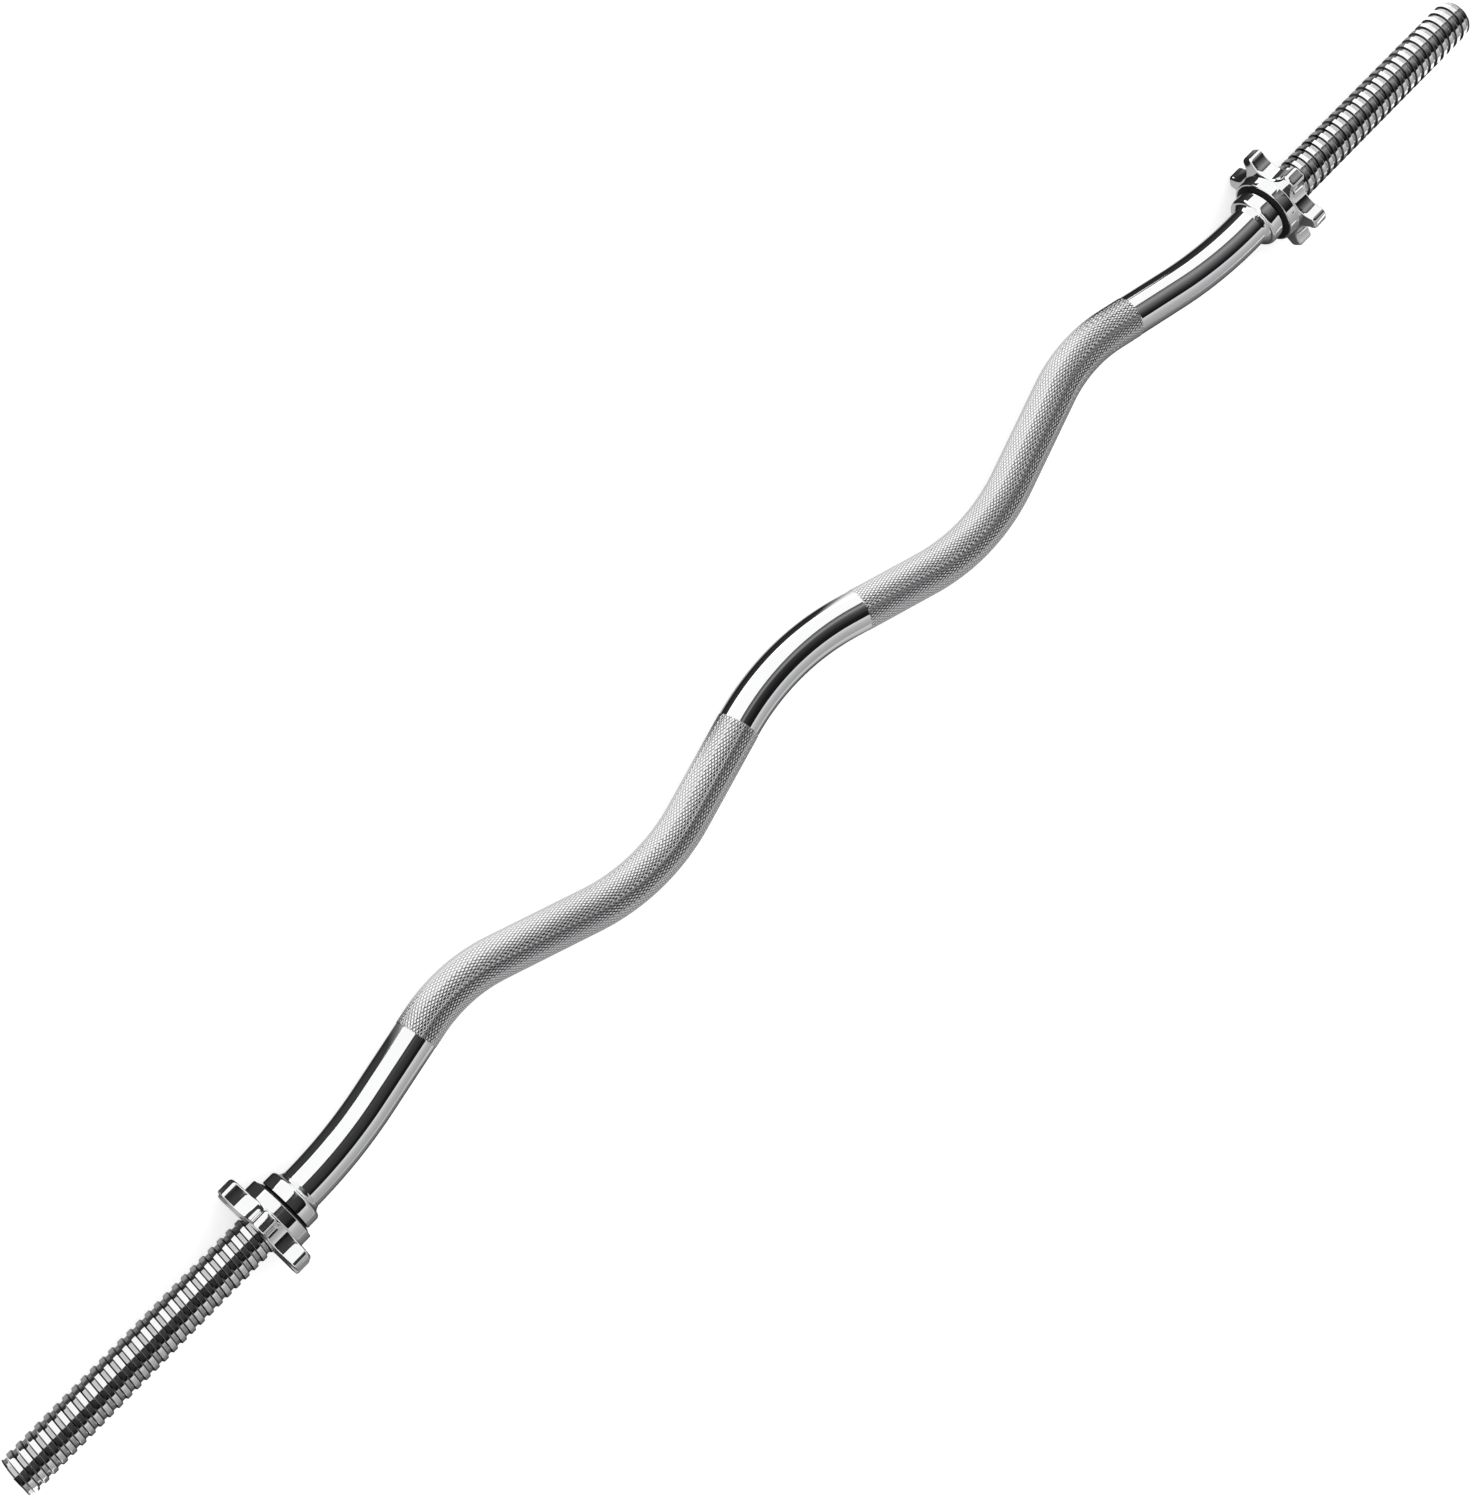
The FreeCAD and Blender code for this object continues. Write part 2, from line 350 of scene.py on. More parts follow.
def lattice_faces(rows, columns, loop=False):
    """Quads between neighbouring rows, closed round each row, and round the rows if loop."""
    row = np.arange(rows if loop else rows - 1)
    column = np.arange(columns)
    low = row[:, None] * columns
    high = (row[:, None] + 1) % rows * columns
    nearer = column[None, :]
    farther = (column[None, :] + 1) % columns
    quads = np.stack([low + nearer, low + farther, high + farther, high + nearer], axis=2)
    return quads.reshape(-1, 4).tolist()


def cap_faces(rows, columns):
    """The flat ends of a stack of rows."""
    first = list(range(columns))[::-1]
    last = list(range((rows - 1) * columns, rows * columns))
    return [first, last]


def make_mesh(name, points, faces, sharp_angle=None):
    """A mesh that is smooth but for edges sharper than sharp_angle, or flat without it."""
    mesh = bpy.data.meshes.new(name)
    mesh.from_pydata(np.asarray(points).reshape(-1, 3).tolist(), [], faces)
    mesh.polygons.foreach_set("use_smooth", [sharp_angle is not None] * len(mesh.polygons))
    if sharp_angle is not None:
        mesh.set_sharp_from_angle(angle=sharp_angle)
    mesh.validate()
    mesh.update()
    return mesh


def open_sheet(name, points):
    """A mesh of quads on a grid of points, open on all its sides."""
    points = np.asarray(points)
    rows, columns = points.shape[:2]
    index = np.arange(rows * columns).reshape(rows, columns)
    quads = np.stack([index[:-1, :-1], index[:-1, 1:], index[1:, 1:], index[1:, :-1]], axis=2)
    mesh = bpy.data.meshes.new(name)
    mesh.from_pydata(points.reshape(-1, 3).tolist(), [], quads.reshape(-1, 4).tolist())
    return mesh


def paint_shade(mesh, grime):
    """Painted shade: how far the colour at each point is darkened, kept as a point attribute."""
    mesh.attributes.new("grime", "FLOAT", "POINT")
    mesh.attributes["grime"].data.foreach_set("value", grime.astype(np.float32).ravel())


def at_left_end(mesh, name):
    """The same mesh at the left end: screwed in along the thread, then half a turn round."""
    axis = Matrix.Translation((0, 0, axis_height))
    screwed = axis @ Matrix.Rotation(left_screw_turn, 4, "X") @ axis.inverted()
    inward = Matrix.Translation((-left_inset, 0, 0))
    turned = mesh.copy()
    turned.name = name
    turned.transform(Matrix.Rotation(pi, 4, "Z") @ inward @ screwed)
    return turned


def add_to_scene(name, data):
    """An object in the scene, made from a mesh, a lamp or a camera."""
    thing = bpy.data.objects.new(name, data)
    bpy.context.scene.collection.objects.link(thing)
    return thing


def add_piece(name, mesh, material, body, node):
    """Puts a piece in the scene in place of a CAD node, and has it ride on its body."""
    piece = add_to_scene(name, mesh)
    mesh.materials.clear()
    mesh.materials.append(material)
    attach(piece, body)
    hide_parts(node)


# The bar's own stretches


def plain_bar_mesh(name, start, end):
    """A smooth stretch of the bar."""
    distances = spaced(start, end, plain_step)
    radii = np.full((len(distances), round_columns), bar_radius)
    faces = lattice_faces(len(distances), round_columns)
    faces += cap_faces(len(distances), round_columns)
    return make_mesh(name, rows_along_bar(distances, radii), faces, turned_edge)


def from_groove(k):
    """How far a knurl's row or column number k is from a groove, 1 being midway."""
    k = np.mod(k, knurl_parts)
    return np.minimum(k, knurl_parts - k) / (knurl_parts / 2)


def knurl_mesh(name, start, end):
    """A grip whose crossed grooves leave four-sided points, rounded off at their tops."""
    columns = knurl_starts * knurl_parts
    step = 2 * pi * bar_radius / columns / tan(knurl_lean)
    rows = round((end - start) / step) + 1
    distances = np.linspace(start, end, rows)
    i, j = np.meshgrid(np.arange(rows), np.arange(columns), indexing="ij")
    near = np.minimum(from_groove(i + j), from_groove(i - j))
    height = np.interp(near, [0, 0.5, 1], [0, knurl_shoulder, 1])
    fade = np.clip(np.minimum(distances - start, end - distances) / knurl_fade, 0, 1)[:, None]
    raised = grip_radius - knurl_depth * (1 - height)
    points = rows_along_bar(distances, bar_radius + (raised - bar_radius) * fade)

    # Each cell is split along the groove that lies nearer to its middle
    faces = []
    for row in range(rows - 1):
        for column in range(columns):
            across = (column + 1) % columns
            a = row * columns + column
            b = row * columns + across
            c = (row + 1) * columns + across
            d = (row + 1) * columns + column
            if from_groove(row + column + 1) < from_groove(row - column):
                faces += [(a, b, d), (b, c, d)]
            else:
                faces += [(a, b, c), (a, c, d)]
    mesh = make_mesh(name, points, faces + cap_faces(rows, columns))
    # Painted shade: the colour is darkened in and beside the grooves, where shade falls
    paint_shade(mesh, knurl_groove_shade * np.clip(1 - near / knurl_shade_edge, 0, 1) * fade)
    return mesh


def thread_outline():
    """One pitch of the thread as (distance from the groove's middle, radius)."""
    half = thread_pitch / 2
    corners = [
        (-half, bar_radius, 0),
        (-groove_mouth, bar_radius, thread_edge_round),
        (-groove_floor, root_radius, thread_root_round),
        (groove_floor, root_radius, thread_root_round),
        (groove_mouth, bar_radius, thread_edge_round),
        (half, bar_radius, 0),
    ]
    return np.array(rounded(corners))


def groove_shade(from_middle):
    """Painted shade in the grooves: darkest on a groove's walls, less on its floor and none on the
    crests.
    """
    distances = [
        groove_floor - shade_blur,
        groove_floor + shade_blur,
        groove_mouth - shade_blur,
        groove_mouth + shade_blur,
    ]
    return np.interp(np.abs(from_middle), distances, [groove_root_shade, groove_wall_shade, groove_wall_shade, 0])


def end_radius(from_end):
    """The most that the tapered lead and the end's chamfer leave of the bar."""
    lead = bar_radius - lead_drop * np.clip(1 - from_end / lead_length, 0, 1)
    chamfer = bar_radius - lead_drop - (end_chamfer - from_end)
    return np.where(from_end < end_chamfer, np.minimum(lead, chamfer), lead)


def threaded_end_mesh(name, start_x, end_x):
    """A threaded end. Its rows follow the helix, so that the ridge has clean edges."""
    outline = thread_outline()
    offsets = []
    for near, far in zip(outline[:-1, 0], outline[1:, 0]):
        offsets += list(spaced(near, far, thread_step)[:-1] if far > near else [near])
    first = int((start_x - groove_start_x) / thread_pitch) - 2
    turns = np.arange(first, ceil((end_x - groove_start_x) / thread_pitch) + 2)
    places = (groove_start_x + turns[:, None] * thread_pitch + np.array(offsets)).ravel()
    share = np.arange(thread_columns + 1) / thread_columns
    lead = thread_hand * thread_pitch * share
    x = places[:, None] + lead
    margin = thread_pitch / 2
    keep = (x.max(axis=1) > start_x - margin) & (x.min(axis=1) < end_x + margin)
    x = np.clip(x[keep], start_x, end_x)

    unwound = x - lead - groove_start_x
    turn = np.round(unwound / thread_pitch)
    from_middle = unwound - turn * thread_pitch
    depth = bar_radius - np.interp(from_middle, outline[:, 0], outline[:, 1])
    started = turn + thread_hand * share
    fade = np.clip((started - groove_fade_from) / (groove_fade_to - groove_fade_from), 0, 1)
    radius = np.minimum(bar_radius - depth * fade, end_radius(end_x - x))
    mesh = open_sheet(name, round_the_axis(x, radius, 2 * pi * share))
    # Painted shade: the colour is darkened on the grooves' walls and floors
    paint_shade(mesh, groove_shade(from_middle) * fade)

    # The sheet's two long edges join along the helix, and its ends are filled
    build = bmesh.new()
    build.from_mesh(mesh)
    bmesh.ops.remove_doubles(build, verts=build.verts, dist=merge_distance)
    bmesh.ops.holes_fill(build, edges=[edge for edge in build.edges if edge.is_boundary])
    bmesh.ops.recalc_face_normals(build, faces=build.faces)
    build.to_mesh(mesh)
    build.free()
    mesh.polygons.foreach_set("use_smooth", [True] * len(mesh.polygons))
    mesh.set_sharp_from_angle(angle=thread_edge)
    return mesh


# The pieces at the ends


def turned_mesh(name, outline, sharp_angle):
    """A ring whose section is a closed outline of (x, radius)."""
    outline = np.array(outline)
    points = round_the_axis(outline[:, :1], outline[:, 1:], column_angles(round_columns))
    faces = lattice_faces(len(outline), round_columns, loop=True)
    return make_mesh(name, points, faces, sharp_angle)


def collar_mesh(name):
    """The collar, with a rounded shoulder toward the bar's middle."""
    bore = bar_radius + collar_bore_gap
    corners = [
        (collar_start_x, bore, 0),
        (collar_start_x, collar_radius, shoulder_round),
        (collar_face_x, collar_radius, collar_edge_round),
        (collar_face_x, bore, 0),
    ]
    return turned_mesh(name, rounded(corners), turned_edge)


def weld_mesh(name):
    """A hollow bead with faint ripples, between the bar and the collar's shoulder."""
    run = np.linspace(0, 1, weld_steps + 1)
    x = collar_start_x - weld_length * (1 - run)
    sag = weld_sag * np.sin(pi * run) * run
    rise = weld_height * (run - sag)
    angle = column_angles(round_columns)
    ripple = weld_ripple * np.sin(weld_ripples * angle)[None, :] * np.sin(pi * run)[:, None]
    radii = bar_radius + rise[:, None] + ripple * run[:, None]
    under = np.full((1, round_columns), bar_radius)
    radii = np.concatenate([radii, under])
    x = np.append(x, collar_start_x)
    faces = lattice_faces(len(x), round_columns, loop=True)
    return make_mesh(name, round_the_axis(x[:, None], radii, angle), faces, weld_edge)


def arc_points(centre, radius, start, end, steps, sign):
    """Points on an arc and the directions out of the metal, which sign tells."""
    angle = np.linspace(start, end, steps + 1)[:-1]
    away = np.stack([np.cos(angle), np.sin(angle)], axis=1)
    return np.array(centre) + radius * away, sign * away


def unwrapped(angle, near):
    """The same direction as angle, within half a turn of near."""
    return near + (angle - near + pi) % (2 * pi) - pi


def backward(angle, start):
    """The same direction as angle, at most one turn below start."""
    return start - (start - angle) % (2 * pi)


def star_outline():
    """The star's outline and its outward directions, round from the first arm's middle."""
    half_arm = arm_step / 2
    reach = star_tip_radius - arm_corner_round
    joined = valley_radius + arm_corner_round
    cosine = (reach**2 + valley_centre**2 - joined**2) / (2 * reach * valley_centre)
    corner_angle = half_arm - np.arccos(cosine)
    points, normals = [], []
    for arm in range(star_arms):
        middle = arm_step * arm
        first = middle + corner_angle
        last = middle + arm_step - corner_angle
        corner = (reach * cos(first), reach * sin(first))
        next_corner = (reach * cos(last), reach * sin(last))
        valley = (valley_centre * cos(middle + half_arm), valley_centre * sin(middle + half_arm))
        to_corner = np.arctan2(corner[1] - valley[1], corner[0] - valley[0])
        to_next = np.arctan2(next_corner[1] - valley[1], next_corner[0] - valley[0])
        leave = unwrapped(to_corner + pi, middle)
        arrive = unwrapped(to_next + pi, last)
        pieces = [
            ((0, 0), star_tip_radius, middle - corner_angle, first, tip_steps, 1),
            (corner, arm_corner_round, first, leave, corner_steps, 1),
            (valley, valley_radius, to_corner, backward(to_next, to_corner), valley_steps, -1),
            (next_corner, arm_corner_round, arrive, last, corner_steps, 1),
        ]
        for piece in pieces:
            place, away = arc_points(*piece)
            points.append(place)
            normals.append(away)
    turn = np.array([[cos(star_turn), sin(star_turn)], [-sin(star_turn), cos(star_turn)]])
    return np.concatenate(points) @ turn, np.concatenate(normals) @ turn


def nut_bore_radius(x, angle):
    """The nut's internal thread, which follows the bar's ridge with a gap all round."""
    minor = root_radius + thread_gap
    major = bar_radius + thread_gap
    floor = crest_width / 2 - thread_gap * tan(flank_angle) + thread_gap / cos(flank_angle)
    mouth = floor + (major - minor) * tan(flank_angle)
    ridge = groove_start_x + thread_pitch / 2 + thread_hand * thread_pitch * angle / (2 * pi)
    from_ridge = np.abs((x - ridge + thread_pitch / 2) % thread_pitch - thread_pitch / 2)
    radius = np.interp(from_ridge, [floor, mouth], [major, minor])
    opened = major + bore_mouth_break - (star_outer_x - x)
    return np.maximum(radius, opened)


def star_nut_mesh(name):
    """One casting: flange, arms, internal thread and the recess for the ring."""
    outline, away = star_outline()
    angle = np.arctan2(outline[:, 1], outline[:, 0])
    spokes = np.stack([np.cos(angle), np.sin(angle)], axis=1)
    reach = np.hypot(*outline.T)
    root_reach = flange_radius + flange_root_round
    rows = []

    def add_row(x, places):
        x = np.broadcast_to(x, (len(places),))
        rows.append(np.column_stack([x, places[:, 0], axis_height + places[:, 1]]))

    def add_circle(x, radius):
        add_row(x, spokes * np.broadcast_to(radius, (len(spokes),))[:, None])

    def face_x(distance):
        """Where the arms' inner face lies, which falls away toward the tips."""
        slope = star_tip_fall / (star_tip_radius - flange_radius)
        return star_inner_x + slope * (distance - flange_radius)

    quarter = np.linspace(0, pi / 2, arc_steps + 1)

    # The flange's rounded edge, its side and the hollow at its foot
    for turn in quarter:
        radius = flange_radius - flange_edge_round * (1 - sin(turn))
        add_circle(flange_rim_x + flange_edge_round * (1 - cos(turn)), radius)
    for turn in quarter:
        radius = flange_radius + flange_root_round * (1 - cos(turn))
        add_circle(star_inner_x - flange_root_round * (1 - sin(turn)), radius)

    # The arms' inner face, and the rounding down to their sides, tighter where room is short
    room = np.clip(reach - root_reach, arm_least_round, arm_inner_round)
    rounding = np.where(reach < root_reach + 2 * arm_inner_round, room, arm_inner_round)
    for turn in quarter:
        inset = rounding * (1 - sin(turn))
        place = outline - away * inset[:, None]
        distance = np.hypot(*place.T)
        add_row(face_x(distance) + rounding * (1 - cos(turn)), place)

    # The rounding to the outer face, and the face in to the bore's mouth
    for turn in quarter:
        place = outline - away * arm_outer_round * (1 - cos(turn))
        add_row(star_outer_x - arm_outer_round * (1 - sin(turn)), place)
    mouth = bar_radius + thread_gap + bore_mouth_break
    inner = outline - away * arm_outer_round
    for share in face_shares:
        add_row(star_outer_x, inner + (spokes * mouth - inner) * share)
    add_circle(star_outer_x, mouth)

    # The threaded bore, from its mouth back to the recess, then the recess
    for x in spaced(recess_floor_x, star_outer_x, bore_step)[::-1][1:]:
        add_circle(x, nut_bore_radius(x, angle))
    add_circle(recess_floor_x, ring_radius + recess_gap)
    add_circle(flange_rim_x, ring_radius + recess_gap)
    faces = lattice_faces(len(rows), len(outline), loop=True)
    return make_mesh(name, np.array(rows), faces, nut_edge)


def ring_mesh(name):
    """The rubber ring, whose face rises from the flange's lip to a narrow flat at its bore."""
    share = np.linspace(1, 0, crown_steps + 1)
    radius = ring_radius + (ring_flat_radius - ring_radius) * share
    proud = flange_rim_x - ring_face_x
    bulge = (ring_crown_rise - proud / 2) * np.sin(pi * share)
    x = flange_rim_x - proud * share - bulge
    outline = [(ring_face_x, ring_bore_radius), (ring_face_x, ring_flat_radius)]
    outline += list(zip(x, radius))[1:]
    outline += [(recess_floor_x, ring_radius), (recess_floor_x, ring_bore_radius)]
    return turned_mesh(name, outline, ring_edge)


# Shader nodes

number = "NodeSocketFloat"
vector = "NodeSocketVector"


def feed(tree, node, inputs):
    """Links a node's inputs to sockets or gives them values, by their names or numbers."""
    for key, value in inputs.items():
        if isinstance(value, bpy.types.NodeSocket):
            tree.links.new(value, node.inputs[key])
        else:
            node.inputs[key].default_value = value


def add_node(tree, kind, settings, inputs):
    """A node with its settings and inputs."""
    node = tree.nodes.new(kind)
    for key, value in settings.items():
        setattr(node, key, value)
    feed(tree, node, inputs)
    return node


def calc(tree, operation, first, second):
    """One sum on two numbers."""
    settings = {"operation": operation}
    return add_node(tree, "ShaderNodeMath", settings, {0: first, 1: second}).outputs[0]


def remap(tree, value, start, end):
    """The value carried from the range start to the range end, and held inside it."""
    ranges = dict(zip(("From Min", "From Max", "To Min", "To Max"), start + end))
    return add_node(tree, "ShaderNodeMapRange", {}, {"Value": value, **ranges}).outputs[0]


def blend_colours(tree, share, first, second):
    inputs = {0: share, 6: first, 7: second}
    return add_node(tree, "ShaderNodeMix", {"data_type": "RGBA"}, inputs).outputs[2]


def noise(tree, place, scale, detail=2.0, roughness=0.5):
    inputs = {"Vector": place, "Scale": scale, "Detail": detail, "Roughness": roughness}
    return add_node(tree, "ShaderNodeTexNoise", {}, inputs).outputs[0]


def stretched(tree, place, scales):
    """A place whose pattern is drawn out along the axes with small scales."""
    settings = {"operation": "MULTIPLY"}
    return add_node(tree, "ShaderNodeVectorMath", settings, {0: place, 1: scales}).outputs[0]


def bump(tree, height, strength, distance):
    inputs = {"Strength": strength, "Distance": distance, "Height": height}
    return add_node(tree, "ShaderNodeBump", {}, inputs).outputs[0]


def new_group(name, inputs, outputs):
    """A shader node group with named sockets, given as (name, kind, default)."""
    group = bpy.data.node_groups.new(name, "ShaderNodeTree")
    for title, kind, default in inputs:
        socket = group.interface.new_socket(name=title, in_out="INPUT", socket_type=kind)
        if default is not None:
            socket.default_value = default
    for title, kind in outputs:
        group.interface.new_socket(name=title, in_out="OUTPUT", socket_type=kind)
    entry = group.nodes.new("NodeGroupInput")
    leave = group.nodes.new("NodeGroupOutput")
    return group, entry.outputs, leave


def use_group(tree, group, place, inputs):
    """A group's outputs, at a place on the surface."""
    settings = {"node_tree": group}
    return add_node(tree, "ShaderNodeGroup", settings, {"Place": place, **inputs}).outputs


def plating_group():
    """The slow swell of a plated surface, and a haze that thins its shine in places."""
    group, given, leave = new_group(
        "plating_swell",
        [("Place", vector, None), ("Swell Scale", number, 60.0), ("Haze Scale", number, 14.0)],
        [("Height", number), ("Haze", number)],
    )
    swell = noise(group, given["Place"], given["Swell Scale"], 1.0)
    patches = noise(group, given["Place"], given["Haze Scale"], 4.0, 0.6)
    clear_to_hazy = (0.42, 0.72)
    haze = remap(group, patches, clear_to_hazy, (0.0, 1.0))
    feed(group, leave, {"Height": swell, "Haze": haze})
    return group


def rubbing_group():
    """Fine rubbing marks in two directions across a surface."""
    group, given, leave = new_group(
        "rubbing_marks",
        [("Place", vector, None), ("Scale", number, 900.0), ("Amount", number, 0.5)],
        [("Height", number), ("Marks", number)],
    )
    marks_along = (0.03, 1.0, 1.0)
    marks_across = (1.0, 0.05, 0.05)
    along = stretched(group, given["Place"], marks_along)
    across = stretched(group, given["Place"], marks_across)
    first = noise(group, along, given["Scale"], 1.0)
    second = noise(group, across, given["Scale"], 1.0)
    fine = calc(group, "MAXIMUM", first, second)
    plain_to_marked = (0.66, 0.8)
    lines = remap(group, fine, plain_to_marked, (0.0, 1.0))
    feed(group, leave, {"Height": fine, "Marks": calc(group, "MULTIPLY", lines, given["Amount"])})
    return group


def dust_group():
    """Fine pale specks in patches."""
    group, given, leave = new_group(
        "fine_dust",
        [("Place", vector, None), ("Scale", number, 700.0), ("Amount", number, 0.3)],
        [("Dust", number)],
    )
    specks = noise(group, given["Place"], given["Scale"], 3.0, 0.7)
    clean_to_dusty = (0.55, 0.8)
    spots = remap(group, specks, clean_to_dusty, (0.0, 1.0))
    patch_scale = 35.0
    patches = noise(group, given["Place"], patch_scale, 2.0)
    film = calc(group, "MULTIPLY", spots, patches)
    feed(group, leave, {"Dust": calc(group, "MULTIPLY", film, given["Amount"])})
    return group


# Materials


def new_material(name):
    """A material with its own coordinates and one Principled shader."""
    material = bpy.data.materials.new(name)
    material.use_nodes = True
    tree = material.node_tree
    shader = tree.nodes["Principled BSDF"]
    place = tree.nodes.new("ShaderNodeTexCoord").outputs["Object"]
    return material, tree, shader, place


def grey(level):
    """A grey with a trace of blue."""
    return (level, level * 1.003, level * 1.008, 1)


# The near-black toward which painted shade in the grooves darkens the metal's colour
shade_colour = grey(0.02)
rubber_colour = (0.004, 0.004, 0.0045, 1)
dust_colour = (0.1, 0.098, 0.095, 1)
plating = plating_group()
rubbing = rubbing_group()
dust = dust_group()


def chrome_material(name, bright, dull, gloss, haze_gloss, swell, swell_scale, marks, shaded_grooves=False):
    """Chrome plate: bright metal that dulls in hazy patches and carries fine marks.

    Where its grooves carry painted shade, a mesh attribute tells how far the metal's colour is
    darkened."""
    material, tree, shader, place = new_material(name)
    swells = use_group(tree, plating, place, {"Swell Scale": swell_scale})
    lines = use_group(tree, rubbing, place, {"Amount": marks})
    colour = blend_colours(tree, swells["Haze"], grey(bright), grey(dull))
    if shaded_grooves:
        # Painted shade in the grooves, read from the mesh, darkens the metal's colour
        grime = add_node(tree, "ShaderNodeAttribute", {"attribute_name": "grime"}, {})
        colour = blend_colours(tree, grime.outputs["Fac"], colour, shade_colour)
    rough = remap(tree, swells["Haze"], (0.0, 1.0), (gloss, haze_gloss))
    inputs = {
        "Base Color": colour,
        "Metallic": 1.0,
        "Roughness": calc(tree, "ADD", rough, lines["Marks"]),
        "Normal": bump(tree, swells["Height"], swell, 0.2 * mm),
    }
    feed(tree, shader, inputs)
    return material


def rubber_material():
    """Matt black rubber with a moulded grain and a little dust."""
    material, tree, shader, place = new_material("black_rubber")
    grain = noise(tree, place, 2600.0, 2.0)
    specks = use_group(tree, dust, place, {"Scale": 900.0, "Amount": 0.2})
    inputs = {
        "Base Color": blend_colours(tree, specks["Dust"], rubber_colour, dust_colour),
        "Roughness": remap(tree, grain, (0.0, 1.0), (0.5, 0.72)),
        "Specular IOR Level": 0.25,
        "Normal": bump(tree, grain, 0.35, 0.08 * mm),
    }
    feed(tree, shader, inputs)
    return material


bar_chrome = chrome_material(
    "polished_chrome",
    bright=0.97,
    dull=0.92,
    gloss=0.03,
    haze_gloss=0.06,
    swell=0.02,
    swell_scale=55.0,
    marks=0.03,
)
knurl_chrome = chrome_material(
    "knurled_chrome",
    bright=0.99,
    dull=0.93,
    gloss=0.04,
    haze_gloss=0.09,
    swell=0.03,
    swell_scale=400.0,
    marks=0.04,
    shaded_grooves=True,
)
thread_chrome = chrome_material(
    "threaded_chrome",
    bright=0.96,
    dull=0.88,
    gloss=0.04,
    haze_gloss=0.09,
    swell=0.04,
    swell_scale=180.0,
    marks=0.04,
    shaded_grooves=True,
)
collar_chrome = chrome_material(
    "collar_chrome",
    bright=0.97,
    dull=0.92,
    gloss=0.035,
    haze_gloss=0.07,
    swell=0.03,
    swell_scale=90.0,
    marks=0.04,
)
weld_chrome = chrome_material(
    "weld_chrome",
    bright=0.94,
    dull=0.82,
    gloss=0.07,
    haze_gloss=0.14,
    swell=0.1,
    swell_scale=260.0,
    marks=0.04,
)
nut_chrome = chrome_material(
    "cast_chrome",
    bright=0.96,
    dull=0.9,
    gloss=0.04,
    haze_gloss=0.08,
    swell=0.06,
    swell_scale=110.0,
    marks=0.04,
)
rubber = rubber_material()


# The object


def build_bar():
    """The bar in seven stretches, which meet end to end inside the metal."""
    at = bar_places()
    plain = [
        ("left_plain", at["left_thread_end"], at["left_grip_start"]),
        ("middle_plain", at["left_grip_end"], at["right_grip_start"]),
        ("right_plain", at["right_grip_end"], at["right_thread_start"]),
    ]
    for name, start, end in plain:
        add_piece(name, plain_bar_mesh(name, start, end), bar_chrome, "bar_body", "bar")
    grips = [
        ("left_grip", at["left_grip_start"], at["left_grip_end"]),
        ("right_grip", at["right_grip_start"], at["right_grip_end"]),
    ]
    for name, start, end in grips:
        add_piece(name, knurl_mesh(name, start, end), knurl_chrome, "bar_body", "bar")
    right = threaded_end_mesh("right_thread", thread_start_x, bar_end_x)
    left = threaded_end_mesh("left_thread_shape", thread_start_x, bar_end_x + left_inset)
    left = at_left_end(left, "left_thread")
    add_piece("right_thread", right, thread_chrome, "bar_body", "bar")
    add_piece("left_thread", left, thread_chrome, "bar_body", "bar")


def build_end_pieces():
    """Collar, weld, nut and ring at each end, each in place of its own node."""
    kinds = [
        ("inner_collar", collar_mesh, collar_chrome, "bar_body", "collar_chrome"),
        ("collar_weld", weld_mesh, weld_chrome, "bar_body", "weld_chrome"),
        ("star_nut", star_nut_mesh, nut_chrome, "SIDE_nut_body", "nut_chrome"),
        ("rubber_ring", ring_mesh, rubber, "SIDE_ring_body", "ring_rubber"),
    ]
    for kind, make, material, body, slot in kinds:
        right = make("right_" + kind + "_shape")
        meshes = {"right": right, "left": at_left_end(right, "left_" + kind + "_shape")}
        for side, mesh in meshes.items():
            name = side + "_" + kind + "_finish"
            add_piece(name, mesh, material, body.replace("SIDE", side), side + "_" + kind)


# The studio


def background_rays(tree):
    """1 for the rays that show the background: straight, in the metal and through glass."""
    path = tree.nodes.new("ShaderNodeLightPath").outputs
    seen = calc(tree, "MAXIMUM", path["Is Camera Ray"], path["Is Glossy Ray"])
    return calc(tree, "MAXIMUM", seen, path["Is Transmission Ray"])


def build_floor():
    """A pale floor that keeps the bar's shadow and shows as white round it."""
    half = 12.0
    lift = 0.35
    mesh = open_sheet("floor", [[(x, y, 0) for x in (-half, half)] for y in (-half, half)])
    material = bpy.data.materials.new("pale_floor")
    material.use_nodes = True
    tree = material.node_tree
    inputs = {
        "Base Color": (0.94, 0.94, 0.94, 1),
        "Roughness": 0.9,
        "Specular IOR Level": 0.0,
        "Emission Color": (1, 1, 1, 1),
        "Emission Strength": calc(tree, "MULTIPLY", background_rays(tree), lift),
    }
    feed(tree, tree.nodes["Principled BSDF"], inputs)
    mesh.materials.append(material)
    add_to_scene("floor", mesh)


def card_material():
    """An unshaded surface whose brightness is painted on it as the attribute glow."""
    material = bpy.data.materials.new("card_surface")
    material.use_nodes = True
    tree = material.node_tree
    tree.nodes.clear()
    painted = add_node(tree, "ShaderNodeAttribute", {"attribute_name": "glow"}, {})
    inputs = {"Color": painted.outputs["Color"], "Strength": 1.0}
    light = add_node(tree, "ShaderNodeEmission", {}, inputs)
    add_node(tree, "ShaderNodeOutputMaterial", {}, {"Surface": light.outputs[0]})
    return material


